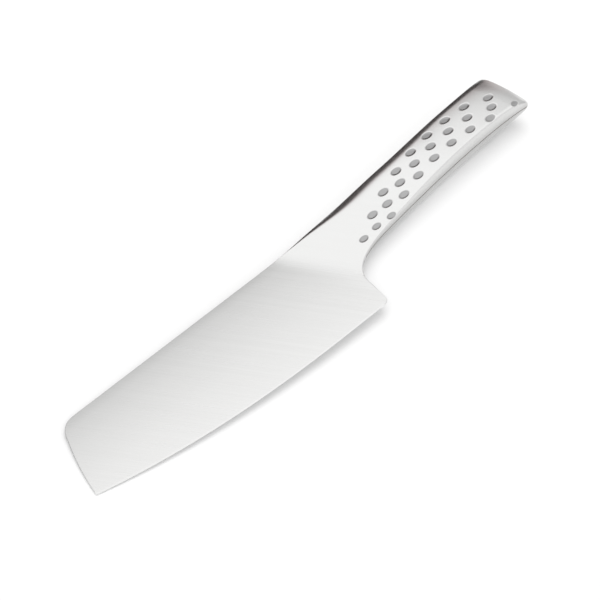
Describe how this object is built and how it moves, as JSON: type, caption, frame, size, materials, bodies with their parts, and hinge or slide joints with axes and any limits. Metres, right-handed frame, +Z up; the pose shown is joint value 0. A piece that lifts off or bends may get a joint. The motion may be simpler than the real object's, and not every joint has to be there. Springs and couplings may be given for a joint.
{
  "type": "vegetable knife",
  "caption": "All-steel vegetable knife with a broad flat blade, a blunt front, a seamless welded neck and a hollow dimpled handle; lies on its side.",
  "frame": {"origin": "middle of the bounding box's bottom, on the table that the knife lies on", "axes": "+X from the blade's toe to the handle's butt, +Y from the cutting edge to the spine, +Z up out of the knife's right side"},
  "size_m": [0.293, 0.0594, 0.0199],
  "materials": {
    "blade_steel": "fine slanted grinding lines, satin",
    "handle_steel": "satin, with matt grey dimple floors",
    "weld_steel": "ground flush, satin",
    "sand": "dry sand"
  },
  "bodies": {
    "root": {"blade": "blade_steel", "right_handle_shell": "handle_steel", "left_handle_shell": "handle_steel", "right_neck_weld": "weld_steel", "left_neck_weld": "weld_steel", "belly_seam_weld": "weld_steel", "spine_seam_weld": "weld_steel", "butt_seam_weld": "weld_steel", "balance_sand": "sand"}
  },
  "joints": []
}
